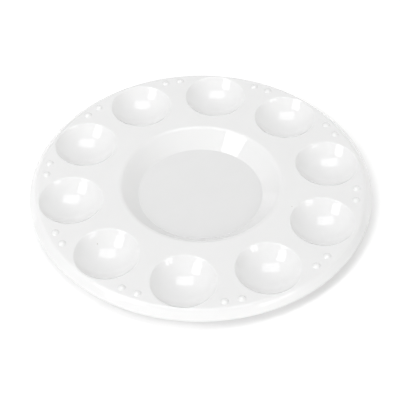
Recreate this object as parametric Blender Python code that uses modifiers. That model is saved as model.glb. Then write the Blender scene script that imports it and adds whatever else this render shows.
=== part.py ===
"""Round mixing palette: one injection-moulded tray with ten paint wells around a mixing dish.

Units are metres, with +Z up. The origin is the centre of the underside of the mixing dish's floor,
which is the plane the tray stands on. One paint well is centred on the -Y axis.
"""

import math

import bmesh
import bpy

MM = 0.001

# Driving dimensions, in millimetres.
TRAY_RADIUS = 85.0
WALL = 1.5
DISH_DEPTH = 7.8
DISH_FLOOR_RADIUS = 31.25
DISH_LIP_RADIUS = 40.0
SHOULDER_RADIUS = 81.55
RIM_DROP = 4.15

WELL_COUNT = 10
WELL_PITCH_RADIUS = 64.85
WELL_LIP_RADIUS = 16.2
WELL_LIP_ROUNDING = 0.9
WELL_DEPTH = 7.6

PIP_PITCH_RADIUS = 77.4
PIP_HALF_ANGLE_DEG = 2.97
PIP_RADIUS = 2.0
PIP_HEIGHT = 1.0

# Roundings of the turned shell, in millimetres. Each one is measured on the top surface.
DISH_FLOOR_ROUNDING = 1.0
DISH_LIP_ROUNDING = 4.0
SHOULDER_ROUNDING = 3.0
RIM_EDGE_ROUNDING = 0.3
RIM_LAND = 0.45

# Mark left by the moulding gate, in the middle of the underside, in millimetres.
GATE_RECESS_RADIUS = 3.5
GATE_RECESS_DEPTH = 0.4
GATE_RECESS_TAPER = 0.3
GATE_STUB_RADIUS = 0.9
GATE_STUB_HEIGHT = 0.25

# How finely the round shapes are divided.
SHELL_STEPS = 64
WELL_STEPS = 24
PIP_STEPS = 8
ROUNDING_CHORD_ERROR = 0.03
LEAST_ROUNDING_STEPS = 2
WELL_LIP_STEPS = 3
BOWL_RINGS = 5
BOWL_BACK_RINGS = 3
PIP_RINGS = 3

# How far shapes that are joined or cut reach past each other, in millimetres.
BOWL_TOP_INSIDE_DECK = 1.0
CUTTER_FLARE_RISE = 0.1
CUTTER_TOP_CLEARANCE = 2.0
PIP_SINK = 0.4

MERGE_DISTANCE = 0.00005
PLASTIC_WHITE = (0.83, 0.83, 0.84, 1.0)
PLASTIC_ROUGHNESS = 0.22

DECK_Z = WALL + DISH_DEPTH
RIM_BOTTOM_Z = DECK_Z - RIM_DROP


def clear_scene():
    """Remove everything that Blender starts with."""
    for obj in list(bpy.data.objects):
        bpy.data.objects.remove(obj, do_unlink=True)


def new_collection(name):
    """Add an empty collection to the scene."""
    collection = bpy.data.collections.new(name)
    bpy.context.scene.collection.children.link(collection)
    return collection


def unit(vector):
    """Scale a 2-D vector to length one."""
    length = math.hypot(*vector)
    return (vector[0] / length, vector[1] / length)


def turn_between(before, after):
    """Angle in radians, positive to the left, from one 2-D direction to another."""
    cross = before[0] * after[1] - before[1] * after[0]
    dot = before[0] * after[0] + before[1] * after[1]
    return math.atan2(cross, dot)


def rounded(corners):
    """Points of a line through (radius, height, rounding) corners, with an arc at each rounded corner."""
    points = [corners[0][:2]]
    for last, corner, following in zip(corners, corners[1:], corners[2:]):
        radius, height, rounding = corner
        way_in = unit((radius - last[0], height - last[1]))
        way_out = unit((following[0] - radius, following[1] - height))
        turn = turn_between(way_in, way_out)
        if rounding == 0.0:
            points.append((radius, height))
            continue
        side = math.copysign(1.0, turn)
        reach = rounding * math.tan(abs(turn) / 2)
        start = (radius - way_in[0] * reach, height - way_in[1] * reach)
        centre = (start[0] - way_in[1] * rounding * side, start[1] + way_in[0] * rounding * side)
        spoke = (start[0] - centre[0], start[1] - centre[1])
        finest_step = 2 * math.acos(1 - ROUNDING_CHORD_ERROR / rounding)
        steps = max(LEAST_ROUNDING_STEPS, round(abs(turn) / finest_step))
        for step in range(steps + 1):
            angle = turn * step / steps
            points.append((
                centre[0] + spoke[0] * math.cos(angle) - spoke[1] * math.sin(angle),
                centre[1] + spoke[0] * math.sin(angle) + spoke[1] * math.cos(angle),
            ))
    points.append(corners[-1][:2])
    return points


def offset_corner(before, corner, after, distance):
    """Where the two lines that meet at a corner meet again once both are moved to their right."""
    way_in = unit((corner[0] - before[0], corner[1] - before[1]))
    way_out = unit((after[0] - corner[0], after[1] - corner[1]))
    half_turn = turn_between(way_in, way_out) / 2
    middle = unit((way_in[0] + way_out[0], way_in[1] + way_out[1]))
    length = distance / math.cos(half_turn)
    return (corner[0] + middle[1] * length, corner[1] - middle[0] * length)


def shell_profile():
    """Closed section of the turned shell, from the axis out along its top and back along its underside."""
    floor_centre = (0.0, WALL)
    floor_edge = (DISH_FLOOR_RADIUS, WALL)
    dish_lip = (DISH_LIP_RADIUS, DECK_Z)
    shoulder = (SHOULDER_RADIUS, DECK_Z)
    land_top = (TRAY_RADIUS, RIM_BOTTOM_Z + RIM_LAND)

    floor_back = offset_corner(floor_centre, floor_edge, dish_lip, WALL)
    lip_back = offset_corner(floor_edge, dish_lip, shoulder, WALL)
    shoulder_back = offset_corner(dish_lip, shoulder, land_top, WALL)
    skirt_run = (land_top[0] - shoulder[0]) / (shoulder[1] - land_top[1])
    rim_inner = (shoulder_back[0] + skirt_run * (shoulder_back[1] - RIM_BOTTOM_Z), RIM_BOTTOM_Z)

    corners = [
        (*floor_centre, 0.0),
        (*floor_edge, DISH_FLOOR_ROUNDING),
        (*dish_lip, DISH_LIP_ROUNDING),
        (*shoulder, SHOULDER_ROUNDING),
        (*land_top, 0.0),
        (TRAY_RADIUS, RIM_BOTTOM_Z, RIM_EDGE_ROUNDING),
        (*rim_inner, RIM_EDGE_ROUNDING),
        (*shoulder_back, SHOULDER_ROUNDING - WALL),
        (*lip_back, DISH_LIP_ROUNDING - WALL),
        (*floor_back, DISH_FLOOR_ROUNDING + WALL),
        (GATE_RECESS_RADIUS, 0.0, 0.0),
        (GATE_RECESS_RADIUS - GATE_RECESS_TAPER, GATE_RECESS_DEPTH, 0.0),
        (GATE_STUB_RADIUS, GATE_RECESS_DEPTH, 0.0),
        (GATE_STUB_RADIUS, GATE_RECESS_DEPTH - GATE_STUB_HEIGHT, 0.0),
        (0.0, GATE_RECESS_DEPTH - GATE_STUB_HEIGHT, 0.0),
    ]
    return rounded(corners)


def bowl_shape():
    """Radius of a well's spherical bowl, and the height of its centre, for the stated lip and depth."""
    lip_and_bowl = (WELL_LIP_RADIUS ** 2 + WELL_DEPTH ** 2) / (2 * WELL_DEPTH)
    bowl_radius = lip_and_bowl - WELL_LIP_ROUNDING
    return bowl_radius, DECK_Z - WELL_DEPTH + bowl_radius


def sphere_points(radius, centre_z, first_angle, rings):
    """Points down a sphere's lower side to its lowest point. Angles are from straight down."""
    points = []
    for ring in range(rings + 1):
        angle = first_angle * (1 - ring / rings)
        points.append((radius * math.sin(angle), centre_z - radius * math.cos(angle)))
    return points


def bowl_back_profile():
    """Section of the solid that thickens the deck into the back of a bowl."""
    bowl_radius, centre_z = bowl_shape()
    back_radius = bowl_radius + WALL
    top_z = DECK_Z - BOWL_TOP_INSIDE_DECK
    edge_angle = math.acos((centre_z - top_z) / back_radius)
    return [(0.0, top_z)] + sphere_points(back_radius, centre_z, edge_angle, BOWL_BACK_RINGS)


def bowl_cutter_profile():
    """Section of the solid that hollows a well: a spherical bowl with a rounded, flaring lip."""
    bowl_radius, centre_z = bowl_shape()
    rounding_z = DECK_Z - WELL_LIP_ROUNDING
    meeting_angle = math.atan2(WELL_LIP_RADIUS, centre_z - rounding_z)
    lip = []
    for step in range(WELL_LIP_STEPS):
        angle = meeting_angle * step / WELL_LIP_STEPS
        lip.append((
            WELL_LIP_RADIUS - WELL_LIP_ROUNDING * math.sin(angle),
            rounding_z + WELL_LIP_ROUNDING * math.cos(angle),
        ))
    run_per_rise = (lip[0][0] - lip[1][0]) / (lip[0][1] - lip[1][1])
    lip[0] = (WELL_LIP_RADIUS + CUTTER_FLARE_RISE * run_per_rise, DECK_Z + CUTTER_FLARE_RISE)
    top_z = DECK_Z + CUTTER_TOP_CLEARANCE
    bowl = sphere_points(bowl_radius, centre_z, meeting_angle, BOWL_RINGS)
    return [(0.0, top_z), (lip[0][0], top_z)] + lip + bowl


def pip_profile():
    """Section of one raised pip, from its top down into the deck."""
    cap_radius = (PIP_RADIUS ** 2 + PIP_HEIGHT ** 2) / (2 * PIP_HEIGHT)
    centre_z = DECK_Z + PIP_HEIGHT - cap_radius
    edge_angle = math.asin(PIP_RADIUS / cap_radius)
    points = []
    for ring in range(PIP_RINGS + 1):
        angle = edge_angle * ring / PIP_RINGS
        points.append((cap_radius * math.sin(angle), centre_z + cap_radius * math.cos(angle)))
    points.append((PIP_RADIUS, DECK_Z - PIP_SINK))
    points.append((0.0, DECK_Z - PIP_SINK))
    return points


def profile_mesh(name, profile):
    """Mesh of the edges of a section, at +X, for a Screw modifier to turn."""
    mesh = bpy.data.meshes.new(name)
    shape = bmesh.new()
    points = [shape.verts.new((radius * MM, 0.0, height * MM)) for radius, height in profile]
    for first, second in zip(points, points[1:]):
        shape.edges.new((first, second))
    shape.to_mesh(mesh)
    shape.free()
    return mesh


def add_turned(name, mesh, steps, collection):
    """Object that turns a section mesh once around its own Z axis."""
    obj = bpy.data.objects.new(name, mesh)
    collection.objects.link(obj)
    turn = obj.modifiers.new("Turn", "SCREW")
    turn.axis = "Z"
    turn.angle = 2 * math.pi
    turn.steps = steps
    turn.render_steps = steps
    turn.use_merge_vertices = True
    turn.merge_threshold = MERGE_DISTANCE
    turn.use_smooth_shade = True
    return obj


def add_ring(name, profile, steps, pitch_radius, angles, collection):
    """Turned helper solids at the stated angles around the tray's axis."""
    mesh = profile_mesh(name, profile)
    for number, angle in enumerate(angles):
        helper = add_turned(f"{name}_{number:02d}", mesh, steps, collection)
        helper.location = (pitch_radius * MM * math.cos(angle), pitch_radius * MM * math.sin(angle), 0.0)
        helper.rotation_euler = (0.0, 0.0, angle)
        helper.hide_render = True
        helper.display_type = "WIRE"


def add_boolean(obj, name, operation, operands):
    """Combine an object with every solid of a collection."""
    boolean = obj.modifiers.new(name, "BOOLEAN")
    boolean.operation = operation
    boolean.solver = "EXACT"
    boolean.operand_type = "COLLECTION"
    boolean.collection = operands


def plastic_material():
    """Glossy white moulded polystyrene."""
    material = bpy.data.materials.new("white_plastic")
    material.use_nodes = True
    shader = material.node_tree.nodes["Principled BSDF"]
    shader.inputs["Base Color"].default_value = PLASTIC_WHITE
    shader.inputs["Roughness"].default_value = PLASTIC_ROUGHNESS
    return material


def well_angles():
    """Angles of the wells, with the first on the -Y axis."""
    return [2 * math.pi * number / WELL_COUNT - math.pi / 2 for number in range(WELL_COUNT)]


def pip_angles():
    """Angles of the pips: a pair midway between each well and the next."""
    half_step = math.pi / WELL_COUNT
    half_gap = math.radians(PIP_HALF_ANGLE_DEG)
    return [angle + half_step + side * half_gap for angle in well_angles() for side in (-1, 1)]


def build():
    """Make the tray in its own collection, with its helpers in three more."""
    clear_scene()
    tray_parts = new_collection("mixing_palette")
    bowl_backs = new_collection("bowl_backs")
    bowl_cutters = new_collection("bowl_cutters")
    pips = new_collection("pips")
    add_ring("bowl_back", bowl_back_profile(), WELL_STEPS, WELL_PITCH_RADIUS, well_angles(), bowl_backs)
    add_ring("bowl_cutter", bowl_cutter_profile(), WELL_STEPS, WELL_PITCH_RADIUS, well_angles(), bowl_cutters)
    add_ring("pip", pip_profile(), PIP_STEPS, PIP_PITCH_RADIUS, pip_angles(), pips)

    tray = add_turned("palette_tray", profile_mesh("palette_tray", shell_profile()), SHELL_STEPS, tray_parts)
    tray.data.materials.append(plastic_material())
    add_boolean(tray, "Join bowl backs", "UNION", bowl_backs)
    add_boolean(tray, "Hollow wells", "DIFFERENCE", bowl_cutters)
    add_boolean(tray, "Join pips", "UNION", pips)
    for helpers in (bowl_backs, bowl_cutters, pips):
        helpers.hide_render = True


build()
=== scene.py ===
"""Looks of the round mixing palette: a smooth white plastic tray under soft studio light."""

import math

import bmesh
import bpy
from mathutils import Matrix, Vector


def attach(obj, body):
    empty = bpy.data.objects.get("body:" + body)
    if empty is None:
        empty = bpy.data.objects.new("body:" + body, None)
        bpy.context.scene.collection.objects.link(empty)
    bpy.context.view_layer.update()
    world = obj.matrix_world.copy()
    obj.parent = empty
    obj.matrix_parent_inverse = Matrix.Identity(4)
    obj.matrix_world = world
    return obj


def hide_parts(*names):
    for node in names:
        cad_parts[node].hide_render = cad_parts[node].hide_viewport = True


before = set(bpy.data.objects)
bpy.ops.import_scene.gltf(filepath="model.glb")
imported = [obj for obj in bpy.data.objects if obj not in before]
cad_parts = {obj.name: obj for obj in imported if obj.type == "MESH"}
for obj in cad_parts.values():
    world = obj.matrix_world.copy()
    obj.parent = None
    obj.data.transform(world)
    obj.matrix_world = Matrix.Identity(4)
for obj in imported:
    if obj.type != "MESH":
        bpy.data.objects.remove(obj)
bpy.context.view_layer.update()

MM = 0.001

# The tray's dimensions in millimetres, the same as the CAD model's.
TRAY_RADIUS = 85.0
WALL = 1.5
DISH_DEPTH = 7.8
DISH_FLOOR_RADIUS = 31.25
DISH_LIP_RADIUS = 40.0
SHOULDER_RADIUS = 81.55
RIM_DROP = 4.15
WELL_COUNT = 10
WELL_PITCH_RADIUS = 64.85
WELL_LIP_RADIUS = 16.2
WELL_LIP_ROUNDING = 0.9
WELL_DEPTH = 7.6
PIP_PITCH_RADIUS = 77.4
PIP_HALF_ANGLE_DEG = 2.97
PIP_RADIUS = 2.0
PIP_HEIGHT = 1.0
DISH_FLOOR_ROUNDING = 1.0
DISH_LIP_ROUNDING = 4.0
SHOULDER_ROUNDING = 3.0
RIM_EDGE_ROUNDING = 0.3
RIM_LAND = 0.45
GATE_RECESS_RADIUS = 3.5
GATE_RECESS_DEPTH = 0.4
GATE_RECESS_TAPER = 0.3
GATE_STUB_RADIUS = 0.9
GATE_STUB_HEIGHT = 0.25
DECK_Z = WALL + DISH_DEPTH
RIM_BOTTOM_Z = DECK_Z - RIM_DROP

# How finely the shown surface is divided. The CAD model is coarser.
SECTOR_STEPS = 24
WELL_STEPS = 96
PIP_STEPS = 32
ROUNDING_STEP_DEG = 6.0
LEAST_ROUNDING_STEPS = 3
BOWL_RINGS = 20
BOWL_BACK_RINGS = 12
PIP_RINGS = 8
WELL_LIP_STEPS = 6

# How far shapes that are joined or cut reach past each other, in millimetres.
BOWL_TOP_INSIDE_DECK = 1.0
CUTTER_FLARE_RISE = 0.1
CUTTER_TOP_CLEARANCE = 2.0
PIP_SINK = 0.4

# How close, in metres, two points are taken as one, and, in radians, a face is taken as a sector's end.
MERGE = 0.0000005
CAP_ANGLE_TOLERANCE = 0.000001

# The plastic. Lengths are in millimetres, and colours are linear red, green, blue and alpha.
WHITE = (1.0, 1.0, 1.0, 1.0)
PLASTIC_DARK = (0.845, 0.845, 0.844, 1.0)
PLASTIC_LIGHT = (0.873, 0.873, 0.873, 1.0)
PLASTIC_IOR = 1.57
GLOW_THROUGH = 0.3
GLOW_THROUGH_DEPTH = 1.5
GLOW_THROUGH_SPREAD = (1.0, 1.0, 1.0)
MOTTLE_SIZE = 15.0
MOTTLE_DETAIL = 3.0
GLOSS_ROUGHNESS = (0.025, 0.06)
HAZE_SIZE = 9.0
HAZE_DETAIL = 4.0
HAZE_START = 0.35
HAZE_END = 0.75
RIPPLE_SIZE = 2.2
RIPPLE_DETAIL = 1.0
RIPPLE_HEIGHT = 0.003
GRAIN_SIZE = 0.28
GRAIN_DETAIL = 2.0
GRAIN_HEIGHT = 0.004
SATIN_ROUGHNESS = 0.24
# Painted shade: the mixing floor's colour is multiplied by this to darken it, and the edge below is the
# width of that floor's mask.
MIXING_FLOOR_PAINTED_SHADE = (0.935, 0.935, 0.935, 1.0)
SATIN_AND_PAINTED_SHADE_EDGE = 0.5
BACK_ROUGHNESS = 0.38
BACK_TILT_START = -0.05
BACK_TILT_END = -0.25
TOOL_MARK_PITCH = 0.9
TOOL_MARK_HEIGHT = 0.003
FLECKS = ((46.3, -11.9), (-44.5, -43.3))
FLECK_RADIUS = 0.4
FLECK_CORE_RADIUS = 0.2
FLECK_COLOUR = (0.66, 0.64, 0.61, 1.0)

# The sheet, with its half size in metres and its gap in millimetres, and the camera, whose place is in
# millimetres and given with the camera on the -Y side of the tray's middle.
SHEET_COLOUR = (0.9, 0.9, 0.9, 1.0)
SHEET_ROUGHNESS = 0.9
SHEET_GLOW = 0.17
SHEET_HALF_SIZE = 3.0
SHEET_GAP = 0.2
CAMERA_TURN = math.radians(7.213)
CAMERA_POSITION = (0.0, -412.55, 415.45 + DECK_Z)
CAMERA_TARGET = (-0.367, -12.80, DECK_Z)
CAMERA_ROLL = math.radians(-0.4747)
CAMERA_LENS = 105.82
CAMERA_SENSOR = 36.0
CAMERA_NEAREST = 0.01
CAMERA_FURTHEST = 20.0

# The lights. Angles are in degrees, and azimuth -90 is towards the camera and 180 is to its left.
# Distances and sizes are in metres. Brightness is radiance, where a fully lit white sheet is 1.
ROOM_COLOUR = (1.0, 1.0, 0.985, 1.0)
SOFTBOX_COLOUR = (0.985, 0.985, 1.0)
WALL_BRIGHTNESS = 0.255
GLOWS = (
    {"azimuth": -110.0, "elevation": 35.0, "tightness": 4.0, "brightness": 0.48},
    {"azimuth": -45.0, "elevation": 10.0, "tightness": 8.0, "brightness": 1.35},
    {"azimuth": 60.0, "elevation": 8.0, "tightness": 8.0, "brightness": 0.75},
    {"azimuth": 150.0, "elevation": 30.0, "tightness": 4.0, "brightness": 0.38},
)
SOFTBOXES = (
    {"name": "overhead_softbox", "azimuth": 124.0, "elevation": 83.0, "distance": 1.6,
     "width": 1.17, "height": 0.75, "rows": 3, "columns": 1, "spin": -38.0, "brightness": 2.8},
    {"name": "left_softbox", "azimuth": -148.5, "elevation": 48.5, "distance": 1.8,
     "width": 0.66, "height": 0.9, "rows": 1, "columns": 1, "spin": 32.0, "brightness": 5.05},
    {"name": "left_strip", "azimuth": -139.0, "elevation": 30.0, "distance": 1.8,
     "width": 0.48, "height": 0.15, "rows": 1, "columns": 1, "spin": 30.0, "brightness": 3.6},
    {"name": "right_softbox", "azimuth": -43.0, "elevation": 34.0, "distance": 1.8,
     "width": 0.68, "height": 0.42, "rows": 2, "columns": 2, "spin": -13.0, "brightness": 3.6},
)
PANE_FILL = 0.78


def unit(vector):
    """Scale a 2-D vector to length one."""
    length = math.hypot(*vector)
    return (vector[0] / length, vector[1] / length)


def turn_between(before, after):
    """Angle in radians, positive to the left, from one 2-D direction to another."""
    cross = before[0] * after[1] - before[1] * after[0]
    dot = before[0] * after[0] + before[1] * after[1]
    return math.atan2(cross, dot)


def rounded(corners):
    """Points of a line through (radius, height, rounding) corners, with an arc at each rounded corner."""
    points = [corners[0][:2]]
    for last, corner, following in zip(corners, corners[1:], corners[2:]):
        radius, height, rounding = corner
        way_in = unit((radius - last[0], height - last[1]))
        way_out = unit((following[0] - radius, following[1] - height))
        turn = turn_between(way_in, way_out)
        if rounding == 0.0:
            points.append((radius, height))
            continue
        side = math.copysign(1.0, turn)
        reach = rounding * math.tan(abs(turn) / 2)
        start = (radius - way_in[0] * reach, height - way_in[1] * reach)
        centre = (start[0] - way_in[1] * rounding * side, start[1] + way_in[0] * rounding * side)
        spoke = (start[0] - centre[0], start[1] - centre[1])
        steps = max(LEAST_ROUNDING_STEPS, round(math.degrees(abs(turn)) / ROUNDING_STEP_DEG))
        for step in range(steps + 1):
            angle = turn * step / steps
            points.append((
                centre[0] + spoke[0] * math.cos(angle) - spoke[1] * math.sin(angle),
                centre[1] + spoke[0] * math.sin(angle) + spoke[1] * math.cos(angle),
            ))
    points.append(corners[-1][:2])
    return points


def offset_corner(before, corner, after, distance):
    """Where the two lines that meet at a corner meet again once both are moved to their right."""
    way_in = unit((corner[0] - before[0], corner[1] - before[1]))
    way_out = unit((after[0] - corner[0], after[1] - corner[1]))
    half_turn = turn_between(way_in, way_out) / 2
    middle = unit((way_in[0] + way_out[0], way_in[1] + way_out[1]))
    length = distance / math.cos(half_turn)
    return (corner[0] + middle[1] * length, corner[1] - middle[0] * length)


def shell_profile():
    """Closed section of the turned shell, from the axis out along its top and back along its underside."""
    floor_centre = (0.0, WALL)
    floor_edge = (DISH_FLOOR_RADIUS, WALL)
    dish_lip = (DISH_LIP_RADIUS, DECK_Z)
    shoulder = (SHOULDER_RADIUS, DECK_Z)
    land_top = (TRAY_RADIUS, RIM_BOTTOM_Z + RIM_LAND)

    floor_back = offset_corner(floor_centre, floor_edge, dish_lip, WALL)
    lip_back = offset_corner(floor_edge, dish_lip, shoulder, WALL)
    shoulder_back = offset_corner(dish_lip, shoulder, land_top, WALL)
    skirt_run = (land_top[0] - shoulder[0]) / (shoulder[1] - land_top[1])
    rim_inner = (shoulder_back[0] + skirt_run * (shoulder_back[1] - RIM_BOTTOM_Z), RIM_BOTTOM_Z)

    corners = [
        (*floor_centre, 0.0),
        (*floor_edge, DISH_FLOOR_ROUNDING),
        (*dish_lip, DISH_LIP_ROUNDING),
        (*shoulder, SHOULDER_ROUNDING),
        (*land_top, 0.0),
        (TRAY_RADIUS, RIM_BOTTOM_Z, RIM_EDGE_ROUNDING),
        (*rim_inner, RIM_EDGE_ROUNDING),
        (*shoulder_back, SHOULDER_ROUNDING - WALL),
        (*lip_back, DISH_LIP_ROUNDING - WALL),
        (*floor_back, DISH_FLOOR_ROUNDING + WALL),
        (GATE_RECESS_RADIUS, 0.0, 0.0),
        (GATE_RECESS_RADIUS - GATE_RECESS_TAPER, GATE_RECESS_DEPTH, 0.0),
        (GATE_STUB_RADIUS, GATE_RECESS_DEPTH, 0.0),
        (GATE_STUB_RADIUS, GATE_RECESS_DEPTH - GATE_STUB_HEIGHT, 0.0),
        (0.0, GATE_RECESS_DEPTH - GATE_STUB_HEIGHT, 0.0),
    ]
    return rounded(corners)


def bowl_shape():
    """Radius of a well's spherical bowl, and the height of its centre, for the stated lip and depth."""
    lip_and_bowl = (WELL_LIP_RADIUS ** 2 + WELL_DEPTH ** 2) / (2 * WELL_DEPTH)
    bowl_radius = lip_and_bowl - WELL_LIP_ROUNDING
    return bowl_radius, DECK_Z - WELL_DEPTH + bowl_radius


def sphere_points(radius, centre_z, first_angle, rings):
    """Points down a sphere's lower side to its lowest point. Angles are from straight down."""
    points = []
    for ring in range(rings + 1):
        angle = first_angle * (1 - ring / rings)
        points.append((radius * math.sin(angle), centre_z - radius * math.cos(angle)))
    return points


def bowl_back_profile():
    """Section of the solid that thickens the deck into the back of a bowl."""
    bowl_radius, centre_z = bowl_shape()
    back_radius = bowl_radius + WALL
    top_z = DECK_Z - BOWL_TOP_INSIDE_DECK
    edge_angle = math.acos((centre_z - top_z) / back_radius)
    return [(0.0, top_z)] + sphere_points(back_radius, centre_z, edge_angle, BOWL_BACK_RINGS)


def bowl_cutter_profile():
    """Section of the solid that hollows a well: a spherical bowl with a rounded, flaring lip."""
    bowl_radius, centre_z = bowl_shape()
    rounding_z = DECK_Z - WELL_LIP_ROUNDING
    meeting_angle = math.atan2(WELL_LIP_RADIUS, centre_z - rounding_z)
    lip = []
    for step in range(WELL_LIP_STEPS):
        angle = meeting_angle * step / WELL_LIP_STEPS
        lip.append((
            WELL_LIP_RADIUS - WELL_LIP_ROUNDING * math.sin(angle),
            rounding_z + WELL_LIP_ROUNDING * math.cos(angle),
        ))
    run_per_rise = (lip[0][0] - lip[1][0]) / (lip[0][1] - lip[1][1])
    lip[0] = (WELL_LIP_RADIUS + CUTTER_FLARE_RISE * run_per_rise, DECK_Z + CUTTER_FLARE_RISE)
    top_z = DECK_Z + CUTTER_TOP_CLEARANCE
    bowl = sphere_points(bowl_radius, centre_z, meeting_angle, BOWL_RINGS)
    return [(0.0, top_z), (lip[0][0], top_z)] + lip + bowl


def pip_profile():
    """Section of one raised pip, from its top down into the deck."""
    cap_radius = (PIP_RADIUS ** 2 + PIP_HEIGHT ** 2) / (2 * PIP_HEIGHT)
    centre_z = DECK_Z + PIP_HEIGHT - cap_radius
    edge_angle = math.asin(PIP_RADIUS / cap_radius)
    points = []
    for ring in range(PIP_RINGS + 1):
        angle = edge_angle * ring / PIP_RINGS
        points.append((cap_radius * math.sin(angle), centre_z + cap_radius * math.cos(angle)))
    points.append((PIP_RADIUS, DECK_Z - PIP_SINK))
    points.append((0.0, DECK_Z - PIP_SINK))
    return points


def around(radius, height, angle):
    """Point in metres at a radius and height in millimetres, turned about Z from +X."""
    return (radius * MM * math.cos(angle), radius * MM * math.sin(angle), height * MM)


def turned_faces(shape, profile, steps, start, span):
    """Turn a section that starts and ends on the axis through an angle, and return its two end loops."""
    closed = span == 2 * math.pi
    axis_top = shape.verts.new(around(*profile[0], start))
    axis_bottom = shape.verts.new(around(*profile[-1], start))
    columns = []
    for step in range(steps if closed else steps + 1):
        angle = start + span * step / steps
        ring = [shape.verts.new(around(radius, height, angle)) for radius, height in profile[1:-1]]
        columns.append([axis_top] + ring + [axis_bottom])
    neighbours = columns[1:] + columns[:1] if closed else columns[1:]
    for column, neighbour in zip(columns, neighbours):
        for row in range(len(profile) - 1):
            corners = (column[row], column[row + 1], neighbour[row + 1], neighbour[row])
            shape.faces.new(tuple(dict.fromkeys(corners)))
    return columns[0], columns[-1]


def new_object(name, shape):
    """Smooth-shaded object from a bmesh, with its normals facing out."""
    bmesh.ops.recalc_face_normals(shape, faces=shape.faces)
    for face in shape.faces:
        face.smooth = True
    mesh = bpy.data.meshes.new(name)
    shape.to_mesh(mesh)
    shape.free()
    obj = bpy.data.objects.new(name, mesh)
    bpy.context.scene.collection.objects.link(obj)
    return obj


def sector_object():
    """One capped sector of the turned shell, a well's share of it, centred on the -Y axis."""
    shape = bmesh.new()
    span = 2 * math.pi / WELL_COUNT
    first, last = turned_faces(shape, shell_profile(), SECTOR_STEPS, -math.pi / 2 - span / 2, span)
    shape.faces.new(first)
    shape.faces.new(last)
    return new_object("sector", shape)


def turned_object(name, profile, steps, pitch_radius, angle):
    """Whole turned solid standing at an angle and radius from the tray's axis."""
    shape = bmesh.new()
    turned_faces(shape, profile, steps, 0.0, 2 * math.pi)
    obj = new_object(name, shape)
    obj.location = around(pitch_radius, 0.0, angle)
    obj.rotation_euler = (0.0, 0.0, angle)
    return obj


def add_boolean(obj, operation, operand):
    """Combine an object with another one."""
    boolean = obj.modifiers.new(operand.name, "BOOLEAN")
    boolean.operation = operation
    boolean.solver = "EXACT"
    boolean.object = operand


def moulded_sector():
    """Mesh of one sector with its well and its two pips, open where it meets the next sectors."""
    middle = -math.pi / 2
    half_span = math.pi / WELL_COUNT
    sector = sector_object()
    helpers = [
        turned_object("bowl_back", bowl_back_profile(), WELL_STEPS, WELL_PITCH_RADIUS, middle),
        turned_object("bowl_cutter", bowl_cutter_profile(), WELL_STEPS, WELL_PITCH_RADIUS, middle),
    ]
    for side in (-1, 1):
        angle = middle + side * (half_span - math.radians(PIP_HALF_ANGLE_DEG))
        helpers.append(turned_object("pip", pip_profile(), PIP_STEPS, PIP_PITCH_RADIUS, angle))
    for helper, operation in zip(helpers, ("UNION", "DIFFERENCE", "UNION", "UNION")):
        add_boolean(sector, operation, helper)
    graph = bpy.context.evaluated_depsgraph_get()
    mesh = bpy.data.meshes.new_from_object(sector.evaluated_get(graph))
    for obj in [sector] + helpers:
        bpy.data.objects.remove(obj, do_unlink=True)

    shape = bmesh.new()
    shape.from_mesh(mesh)
    caps = []
    for face in shape.faces:
        outer = [vert.co for vert in face.verts if vert.co.xy.length > MERGE]
        reach = [abs(math.atan2(place.x, -place.y)) for place in outer]
        if min(reach) > half_span - CAP_ANGLE_TOLERANCE:
            caps.append(face)
    bmesh.ops.delete(shape, geom=caps, context="FACES")
    shape.to_mesh(mesh)
    shape.free()
    return mesh


def make_tray():
    """The whole tray as one smooth closed mesh: a sector with one well, repeated round the axis."""
    sector = moulded_sector()
    shape = bmesh.new()
    for number in range(WELL_COUNT):
        sector.transform(Matrix.Rotation(2 * math.pi / WELL_COUNT, 4, "Z"))
        shape.from_mesh(sector)
    bmesh.ops.remove_doubles(shape, verts=shape.verts, dist=MERGE)
    tray = new_object("moulded_tray", shape)
    tray.modifiers.new("Even shading", "WEIGHTED_NORMAL")
    return tray


def math_node(tree, operation, *values):
    """Output of a maths node, whose inputs are given as numbers or as other nodes' outputs."""
    node = tree.nodes.new("ShaderNodeMath")
    node.operation = operation
    for socket, value in zip(node.inputs, values):
        if isinstance(value, bpy.types.NodeSocket):
            tree.links.new(value, socket)
        else:
            socket.default_value = value
    return node.outputs["Value"]


def noise(tree, place, size, detail):
    """Output of a noise pattern, from 0 to 1, whose blotches are about so many millimetres across."""
    node = tree.nodes.new("ShaderNodeTexNoise")
    node.inputs["Scale"].default_value = 1 / (size * MM)
    node.inputs["Detail"].default_value = detail
    tree.links.new(place, node.inputs["Vector"])
    return node.outputs["Fac"]


def ramp(tree, value, start, end):
    """Smooth 0 to 1 as a value goes from start to end."""
    node = tree.nodes.new("ShaderNodeMapRange")
    node.interpolation_type = "SMOOTHSTEP"
    node.inputs["From Min"].default_value = start
    node.inputs["From Max"].default_value = end
    tree.links.new(value, node.inputs["Value"])
    return node.outputs["Result"]


def blend(tree, kind, amount, first, second):
    """Blend of two numbers ("FLOAT") or two colours ("RGBA"), each a constant or another node's output."""
    node = tree.nodes.new("ShaderNodeMix")
    node.data_type = kind
    tree.links.new(amount, node.inputs[0])
    socket_type = {"FLOAT": "VALUE", "RGBA": "RGBA"}[kind]
    ends = [socket for socket in node.inputs if socket.type == socket_type]
    for socket, value in zip(ends[-2:], (first, second)):
        if isinstance(value, bpy.types.NodeSocket):
            tree.links.new(value, socket)
        else:
            socket.default_value = value
    return next(socket for socket in node.outputs if socket.type == socket_type)


def across_from(tree, place, centre):
    """Distance in metres across the tray from a point given in millimetres."""
    node = tree.nodes.new("ShaderNodeVectorMath")
    node.operation = "MULTIPLY_ADD"
    node.inputs[1].default_value = (1.0, 1.0, 0.0)
    node.inputs[2].default_value = (-centre[0] * MM, -centre[1] * MM, 0.0)
    tree.links.new(place, node.inputs[0])
    length = tree.nodes.new("ShaderNodeVectorMath")
    length.operation = "LENGTH"
    tree.links.new(node.outputs["Vector"], length.inputs[0])
    return length.outputs["Value"]


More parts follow.
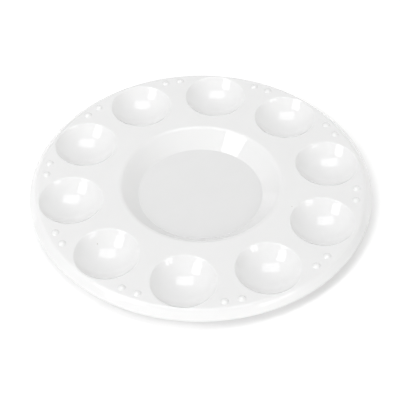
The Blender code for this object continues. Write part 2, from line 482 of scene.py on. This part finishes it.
def bumped(tree, height, scale, normal=None):
    """Normal output after adding a bump whose height from 0 to 1 stands for so many millimetres."""
    node = tree.nodes.new("ShaderNodeBump")
    node.inputs["Distance"].default_value = scale * MM
    tree.links.new(height, node.inputs["Height"])
    if normal:
        tree.links.new(normal, node.inputs["Normal"])
    return node.outputs["Normal"]


def plastic_material():
    """Glossy white polystyrene, with a semi-matt mixing floor whose colour is darkened as painted shade,
    and a turned underside.
    """
    material = bpy.data.materials.new("moulded_white_plastic")
    material.use_nodes = True
    tree = material.node_tree
    shader = tree.nodes["Principled BSDF"]
    shader.inputs["IOR"].default_value = PLASTIC_IOR
    shader.inputs["Subsurface Weight"].default_value = GLOW_THROUGH
    shader.inputs["Subsurface Scale"].default_value = GLOW_THROUGH_DEPTH * MM
    shader.inputs["Subsurface Radius"].default_value = GLOW_THROUGH_SPREAD

    texture = tree.nodes.new("ShaderNodeTexCoord")
    place = texture.outputs["Object"]
    facing = tree.nodes.new("ShaderNodeSeparateXYZ")
    tree.links.new(texture.outputs["Normal"], facing.inputs["Vector"])
    radius = across_from(tree, place, (0.0, 0.0))
    # Mask of the mixing floor: it gives the floor duller gloss and grain, and painted shade in its colour.
    satin_and_painted_shade = ramp(tree, radius, DISH_FLOOR_RADIUS * MM, (DISH_FLOOR_RADIUS - SATIN_AND_PAINTED_SHADE_EDGE) * MM)
    back = ramp(tree, facing.outputs["Z"], BACK_TILT_START, BACK_TILT_END)

    mottling = noise(tree, place, MOTTLE_SIZE, MOTTLE_DETAIL)
    colour = blend(tree, "RGBA", mottling, PLASTIC_DARK, PLASTIC_LIGHT)
    # Painted shade: the colour is darkened on the mixing floor.
    painted_shade_tint = blend(tree, "RGBA", satin_and_painted_shade, WHITE, MIXING_FLOOR_PAINTED_SHADE)
    shaded_colour = tree.nodes.new("ShaderNodeVectorMath")
    shaded_colour.operation = "MULTIPLY"
    tree.links.new(colour, shaded_colour.inputs[0])
    tree.links.new(painted_shade_tint, shaded_colour.inputs[1])
    colour = shaded_colour.outputs["Vector"]
    for fleck in FLECKS:
        distance = across_from(tree, place, fleck)
        spot = ramp(tree, distance, FLECK_RADIUS * MM, FLECK_CORE_RADIUS * MM)
        spot = blend(tree, "FLOAT", back, spot, 0.0)
        colour = blend(tree, "RGBA", spot, colour, FLECK_COLOUR)
    tree.links.new(colour, shader.inputs["Base Color"])

    haze = ramp(tree, noise(tree, place, HAZE_SIZE, HAZE_DETAIL), HAZE_START, HAZE_END)
    gloss = blend(tree, "FLOAT", haze, *GLOSS_ROUGHNESS)
    top = blend(tree, "FLOAT", satin_and_painted_shade, gloss, SATIN_ROUGHNESS)
    tree.links.new(blend(tree, "FLOAT", back, top, BACK_ROUGHNESS), shader.inputs["Roughness"])

    rippled = bumped(tree, noise(tree, place, RIPPLE_SIZE, RIPPLE_DETAIL), RIPPLE_HEIGHT)
    grain = math_node(tree, "MULTIPLY", noise(tree, place, GRAIN_SIZE, GRAIN_DETAIL), satin_and_painted_shade)
    grained = bumped(tree, grain, GRAIN_HEIGHT, rippled)
    turns = math_node(tree, "MULTIPLY", radius, 2 * math.pi / (TOOL_MARK_PITCH * MM))
    marks = math_node(tree, "MULTIPLY", math_node(tree, "SINE", turns), back)
    turned = bumped(tree, marks, TOOL_MARK_HEIGHT, grained)
    tree.links.new(turned, shader.inputs["Normal"])
    return material


def sheet_material():
    """Matt white sheet that gives off a little light, so that only deep shadows show on it."""
    material = bpy.data.materials.new("white_sheet")
    material.use_nodes = True
    shader = material.node_tree.nodes["Principled BSDF"]
    shader.inputs["Base Color"].default_value = SHEET_COLOUR
    shader.inputs["Roughness"].default_value = SHEET_ROUGHNESS
    shader.inputs["Specular IOR Level"].default_value = 0.0
    shader.inputs["Emission Color"].default_value = WHITE
    shader.inputs["Emission Strength"].default_value = SHEET_GLOW
    return material


def add_floor():
    """The white sheet that the palette lies on."""
    mesh = bpy.data.meshes.new("floor")
    shape = bmesh.new()
    bmesh.ops.create_grid(shape, x_segments=1, y_segments=1, size=SHEET_HALF_SIZE)
    shape.to_mesh(mesh)
    shape.free()
    floor = bpy.data.objects.new("floor", mesh)
    floor.location = (0.0, 0.0, -SHEET_GAP * MM)
    bpy.context.scene.collection.objects.link(floor)
    mesh.materials.append(sheet_material())


def from_camera_side(vector):
    """Point or direction given with the camera on the -Y side, turned into the tray's frame."""
    return Matrix.Rotation(CAMERA_TURN, 3, "Z") @ Vector(vector)


def aim(obj, target, roll=0.0):
    """Point an object's -Z axis at a target, with its X axis level before the roll."""
    forward = (target - obj.location).normalized()
    right = forward.cross(Vector((0, 0, 1))).normalized()
    up = right.cross(forward)
    tilted_right = math.cos(roll) * right + math.sin(roll) * up
    tilted_up = math.cos(roll) * up - math.sin(roll) * right
    obj.rotation_euler = Matrix((tilted_right, tilted_up, -forward)).transposed().to_euler()


def add_camera():
    """Camera at the photograph's viewing angle."""
    data = bpy.data.cameras.new("camera")
    data.sensor_width = CAMERA_SENSOR
    data.lens = CAMERA_LENS
    data.clip_start = CAMERA_NEAREST
    data.clip_end = CAMERA_FURTHEST
    camera = bpy.data.objects.new("camera", data)
    bpy.context.scene.collection.objects.link(camera)
    camera.location = from_camera_side(CAMERA_POSITION) * MM
    aim(camera, from_camera_side(CAMERA_TARGET) * MM, CAMERA_ROLL)
    bpy.context.scene.camera = camera


def direction(azimuth, elevation):
    """Unit vector in the tray's frame from angles in degrees."""
    level = math.cos(math.radians(elevation))
    return from_camera_side((
        level * math.cos(math.radians(azimuth)),
        level * math.sin(math.radians(azimuth)),
        math.sin(math.radians(elevation)),
    ))


def add_softbox(box):
    """Softbox that faces the tray from one direction, its lit face divided into a grid of panes."""
    pane_width = box["width"] / box["columns"]
    pane_height = box["height"] / box["rows"]
    for row in range(box["rows"]):
        for column in range(box["columns"]):
            data = bpy.data.lights.new(box["name"], "AREA")
            data.shape = "RECTANGLE"
            data.color = SOFTBOX_COLOUR
            data.size = pane_width * (PANE_FILL if box["columns"] > 1 else 1.0)
            data.size_y = pane_height * (PANE_FILL if box["rows"] > 1 else 1.0)
            data.energy = box["brightness"] * math.pi * data.size * data.size_y
            light = bpy.data.objects.new(box["name"], data)
            bpy.context.scene.collection.objects.link(light)
            light.location = direction(box["azimuth"], box["elevation"]) * box["distance"]
            aim(light, Vector((0, 0, DECK_Z * MM)), math.radians(box["spin"]))
            turn = light.rotation_euler.to_matrix()
            offset = Vector((
                ((column + 0.5) / box["columns"] - 0.5) * box["width"],
                ((row + 0.5) / box["rows"] - 0.5) * box["height"],
                0.0,
            ))
            light.location += turn @ offset


def add_room():
    """Pale room with broad soft glows, as the world's light."""
    world = bpy.data.worlds.new("studio")
    world.use_nodes = True
    tree = world.node_tree
    view = tree.nodes.new("ShaderNodeTexCoord")
    light = WALL_BRIGHTNESS
    for glow in GLOWS:
        facing = tree.nodes.new("ShaderNodeVectorMath")
        facing.operation = "DOT_PRODUCT"
        facing.inputs[1].default_value = direction(glow["azimuth"], glow["elevation"])
        tree.links.new(view.outputs["Generated"], facing.inputs[0])
        tightness = glow["tightness"]
        falloff = math_node(tree, "MULTIPLY_ADD", facing.outputs["Value"], tightness, -tightness)
        spread = math_node(tree, "EXPONENT", falloff)
        light = math_node(tree, "MULTIPLY_ADD", spread, glow["brightness"], light)
    tree.links.new(light, tree.nodes["Background"].inputs["Strength"])
    tree.nodes["Background"].inputs["Color"].default_value = ROOM_COLOUR
    bpy.context.scene.world = world


bpy.context.scene.view_settings.view_transform = "Standard"
add_camera()
tray = make_tray()
tray.data.materials.clear()
tray.data.materials.append(plastic_material())
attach(tray, "root")
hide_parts("palette_tray")
add_floor()
add_room()
for softbox in SOFTBOXES:
    add_softbox(softbox)
